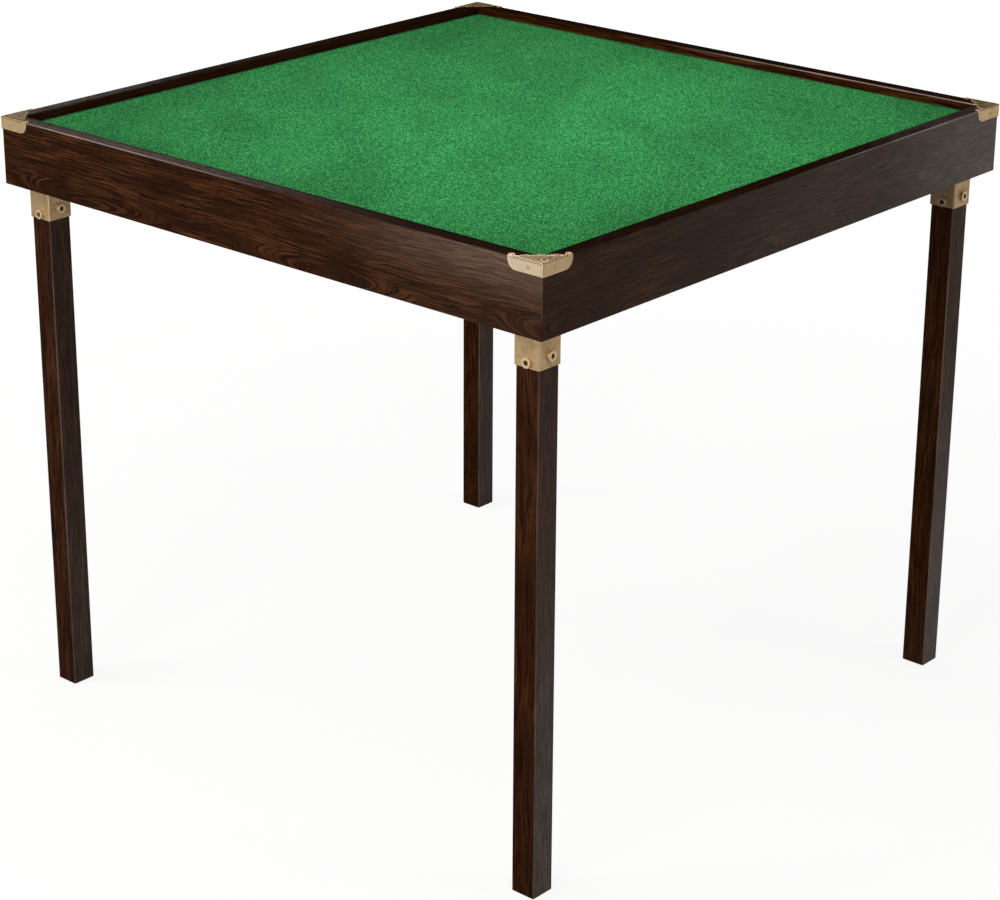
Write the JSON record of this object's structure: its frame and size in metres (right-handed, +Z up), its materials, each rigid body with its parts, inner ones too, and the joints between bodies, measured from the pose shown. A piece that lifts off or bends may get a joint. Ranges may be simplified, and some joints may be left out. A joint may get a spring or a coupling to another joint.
{
  "type": "mahjong table",
  "caption": "Square four-legged mahjong table with a rimmed sunk baize top, brass corner caps, brass leg sockets with clamp screws, and drawers under the panel with flush bail pulls.",
  "frame": {"origin": "on the floor under the middle of the table top", "axes": "+Z up, front side facing -Y, right side facing +X; the drawers pull out towards -X and +Y"},
  "size_m": [0.8626, 0.8626, 0.7545],
  "materials": {
    "apron_wood": "dark stained oak, open grain, satin lacquer",
    "leg_wood": "dark stained oak, satin lacquer",
    "drawer_front_wood": "dark stained oak, satin lacquer",
    "inner_wood": "plain oak, planed, unlacquered",
    "plywood": "birch plywood, sanded",
    "baize": "brushed wool baize",
    "cap_brass": "aged satin brass",
    "socket_brass": "aged satin brass",
    "brass_fittings": "satin brass",
    "pull_brass": "aged cast brass",
    "steel_screws": "zinc-plated steel"
  },
  "bodies": {
    "frame": {"apron_back": "apron_wood", "apron_front": "apron_wood", "apron_left": "apron_wood", "apron_right": "apron_wood", "back_drawer_runners": "inner_wood", "baize": "baize", "cap_pins": "brass_fittings", "corner_cap_back_left": "cap_brass", "corner_cap_back_right": "cap_brass", "corner_cap_front_left": "cap_brass", "corner_cap_front_right": "cap_brass", "corner_splines": "inner_wood", "cross_rail_back": "inner_wood", "cross_rail_left": "inner_wood", "left_drawer_runners": "inner_wood", "leg_socket_back_left": "socket_brass", "leg_socket_back_right": "socket_brass", "leg_socket_front_left": "socket_brass", "leg_socket_front_right": "socket_brass", "panel_ledges": "inner_wood", "playing_panel": "plywood", "socket_screws": "steel_screws"},
    "leg_front_right": {"leg_front_right": "leg_wood"},
    "clamp_screw_front_right_lower": {"clamp_screw_front_right_lower": "brass_fittings"},
    "clamp_screw_front_right_upper": {"clamp_screw_front_right_upper": "brass_fittings"},
    "leg_back_right": {"leg_back_right": "leg_wood"},
    "clamp_screw_back_right_lower": {"clamp_screw_back_right_lower": "brass_fittings"},
    "clamp_screw_back_right_upper": {"clamp_screw_back_right_upper": "brass_fittings"},
    "leg_back_left": {"leg_back_left": "leg_wood"},
    "clamp_screw_back_left_lower": {"clamp_screw_back_left_lower": "brass_fittings"},
    "clamp_screw_back_left_upper": {"clamp_screw_back_left_upper": "brass_fittings"},
    "leg_front_left": {"leg_front_left": "leg_wood"},
    "clamp_screw_front_left_lower": {"clamp_screw_front_left_lower": "brass_fittings"},
    "clamp_screw_front_left_upper": {"clamp_screw_front_left_upper": "brass_fittings"},
    "left_drawer": {"left_drawer_front": "drawer_front_wood", "left_drawer_side_left": "inner_wood", "left_drawer_side_right": "inner_wood", "left_drawer_back": "inner_wood", "left_drawer_bottom": "plywood", "left_drawer_pull": "pull_brass"},
    "left_drawer_bail": {"left_drawer_bail": "pull_brass"},
    "back_drawer": {"back_drawer_front": "drawer_front_wood", "back_drawer_side_left": "inner_wood", "back_drawer_side_right": "inner_wood", "back_drawer_back": "inner_wood", "back_drawer_bottom": "plywood", "back_drawer_pull": "pull_brass"},
    "back_drawer_bail": {"back_drawer_bail": "pull_brass"}
  },
  "joints": [
    {"name": "leg_front_right_draw", "type": "slide", "parent": "frame", "child": "leg_front_right", "axis": [0, 0, -1], "range_m": [0, 0.106]},
    {"name": "clamp_screw_front_right_lower_turn", "type": "hinge", "parent": "frame", "child": "clamp_screw_front_right_lower", "pos_m": [0.39445, -0.41245, 0.6343], "axis": [0, -1, 0], "continuous": true},
    {"name": "clamp_screw_front_right_upper_turn", "type": "hinge", "parent": "frame", "child": "clamp_screw_front_right_upper", "pos_m": [0.41245, -0.39245, 0.641], "axis": [1, 0, 0], "continuous": true},
    {"name": "leg_back_right_draw", "type": "slide", "parent": "frame", "child": "leg_back_right", "axis": [0, 0, -1], "range_m": [0, 0.106]},
    {"name": "clamp_screw_back_right_lower_turn", "type": "hinge", "parent": "frame", "child": "clamp_screw_back_right_lower", "pos_m": [0.39445, 0.37245, 0.6343], "axis": [0, -1, 0], "continuous": true},
    {"name": "clamp_screw_back_right_upper_turn", "type": "hinge", "parent": "frame", "child": "clamp_screw_back_right_upper", "pos_m": [0.41245, 0.39245, 0.641], "axis": [1, 0, 0], "continuous": true},
    {"name": "leg_back_left_draw", "type": "slide", "parent": "frame", "child": "leg_back_left", "axis": [0, 0, -1], "range_m": [0, 0.106]},
    {"name": "clamp_screw_back_left_lower_turn", "type": "hinge", "parent": "frame", "child": "clamp_screw_back_left_lower", "pos_m": [-0.39045, 0.37245, 0.6343], "axis": [0, -1, 0], "continuous": true},
    {"name": "clamp_screw_back_left_upper_turn", "type": "hinge", "parent": "frame", "child": "clamp_screw_back_left_upper", "pos_m": [-0.37245, 0.39245, 0.641], "axis": [1, 0, 0], "continuous": true},
    {"name": "leg_front_left_draw", "type": "slide", "parent": "frame", "child": "leg_front_left", "axis": [0, 0, -1], "range_m": [0, 0.106]},
    {"name": "clamp_screw_front_left_lower_turn", "type": "hinge", "parent": "frame", "child": "clamp_screw_front_left_lower", "pos_m": [-0.39045, -0.41245, 0.6343], "axis": [0, -1, 0], "continuous": true},
    {"name": "clamp_screw_front_left_upper_turn", "type": "hinge", "parent": "frame", "child": "clamp_screw_front_left_upper", "pos_m": [-0.37245, -0.39245, 0.641], "axis": [1, 0, 0], "continuous": true},
    {"name": "left_drawer_slide", "type": "slide", "parent": "frame", "child": "left_drawer", "axis": [-1, 0, 0], "range_m": [0, 0.165]},
    {"name": "left_drawer_bail_lift", "type": "hinge", "parent": "left_drawer", "child": "left_drawer_bail", "pos_m": [-0.4266, 0, 0.7117], "axis": [0, 1, 0], "range_deg": [0, 90]},
    {"name": "back_drawer_slide", "type": "slide", "parent": "frame", "child": "back_drawer", "axis": [0, 1, 0], "range_m": [0, 0.165]},
    {"name": "back_drawer_bail_lift", "type": "hinge", "parent": "back_drawer", "child": "back_drawer_bail", "pos_m": [0, 0.4266, 0.7117], "axis": [1, 0, 0], "range_deg": [0, 90]}
  ]
}
